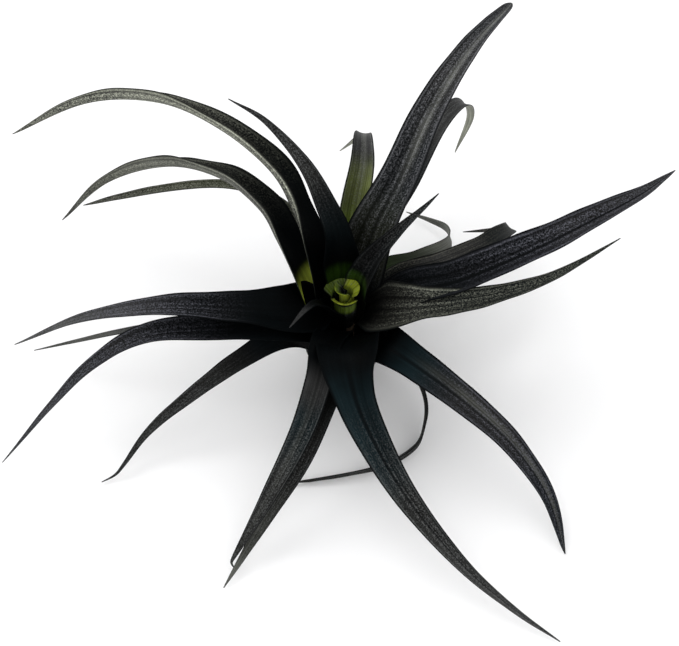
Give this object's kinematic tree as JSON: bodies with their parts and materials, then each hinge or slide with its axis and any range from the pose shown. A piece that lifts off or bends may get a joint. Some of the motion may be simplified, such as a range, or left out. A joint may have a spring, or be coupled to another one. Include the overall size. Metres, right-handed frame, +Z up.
{
  "type": "tillandsia capitata air plant",
  "caption": "Loose air plant rosette of narrow, channelled, tapering leaves that arch and droop round a rolled heart on a short bulb-like base.",
  "frame": {"origin": "centre of the flat foot under the stem, where the plant rests on a surface", "axes": "+Z up along the stem, -Y towards the viewer of the picture, +X to the right of the picture"},
  "size_m": [0.2502, 0.2422, 0.1095],
  "materials": {
    "leaf": "dull charcoal green under fine silvery scales",
    "heart_leaf": "satin yellow-green",
    "stem": "dry, rough brown"
  },
  "bodies": {
    "root": {"stem": "stem", "leaf_01_right_curled": "leaf", "leaf_02_left_thin": "leaf", "leaf_03_front_curled": "leaf", "leaf_04_back_hooked": "leaf", "leaf_05_left_low": "leaf", "leaf_06_back_folded": "leaf", "leaf_07_front_right": "leaf", "leaf_08_back_left_thin": "leaf", "leaf_09_front_under": "leaf", "leaf_10_right_folded": "leaf", "leaf_11_left_sickle": "leaf", "leaf_12_right_long": "leaf", "leaf_13_left_short_arch": "leaf", "leaf_14_front_long": "leaf", "leaf_15_back_tall": "leaf", "leaf_16_front_left": "leaf", "leaf_17_left_long_arch": "leaf", "leaf_18_right_upturned": "leaf", "leaf_19_left_level": "leaf", "leaf_20_young_right": "leaf", "leaf_21_young_left": "leaf", "leaf_22_back_left_upright": "leaf", "heart_leaf_1": "heart_leaf", "heart_leaf_2": "heart_leaf", "heart_leaf_3": "heart_leaf", "heart_leaf_4": "heart_leaf"}
  },
  "joints": []
}
